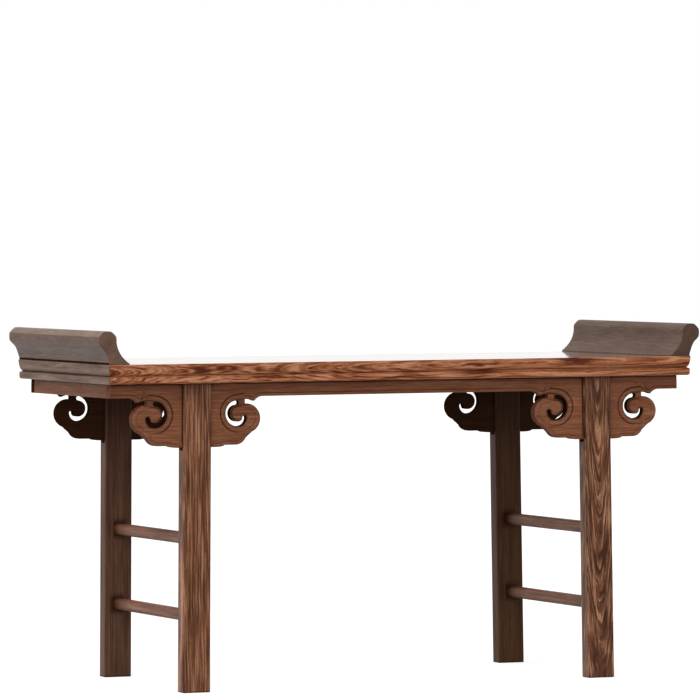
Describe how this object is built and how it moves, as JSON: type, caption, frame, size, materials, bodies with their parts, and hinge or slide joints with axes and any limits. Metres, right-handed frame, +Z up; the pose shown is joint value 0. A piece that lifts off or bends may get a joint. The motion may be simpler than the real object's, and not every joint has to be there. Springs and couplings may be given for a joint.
{
  "type": "tea table",
  "caption": "Low altar-style tea table in dark hardwood with rolled end flanges, scroll-cut aprons, splayed legs and end stretchers.",
  "frame": {"origin": "on the floor, below the middle of the top", "axes": "+X along the length to the right end, +Y from front to rear, +Z up"},
  "size_m": [0.5984, 0.25, 0.3304],
  "materials": {
    "frame_wood": "oiled and waxed dark hardwood, streaked, satin",
    "panel_wood": "oiled and waxed dark hardwood, streaked, satin",
    "hidden_wood": "planed dark hardwood, unfinished",
    "flange_wood": "oiled and waxed dark hardwood, satin",
    "apron_wood": "oiled and waxed dark hardwood, satin",
    "leg_wood": "oiled and waxed dark hardwood, streaked, satin",
    "stretcher_wood": "oiled and waxed dark hardwood, satin"
  },
  "bodies": {
    "root": {"top_front_stile": "frame_wood", "top_rear_stile": "frame_wood", "top_left_rail": "frame_wood", "top_right_rail": "frame_wood", "top_panel": "panel_wood", "left_batten": "hidden_wood", "right_batten": "hidden_wood", "left_flange": "flange_wood", "right_flange": "flange_wood", "front_apron": "apron_wood", "rear_apron": "apron_wood", "left_end_apron": "apron_wood", "right_end_apron": "apron_wood", "front_left_leg": "leg_wood", "front_right_leg": "leg_wood", "rear_left_leg": "leg_wood", "rear_right_leg": "leg_wood", "left_upper_stretcher": "stretcher_wood", "left_lower_stretcher": "stretcher_wood", "right_upper_stretcher": "stretcher_wood", "right_lower_stretcher": "stretcher_wood"}
  },
  "joints": []
}
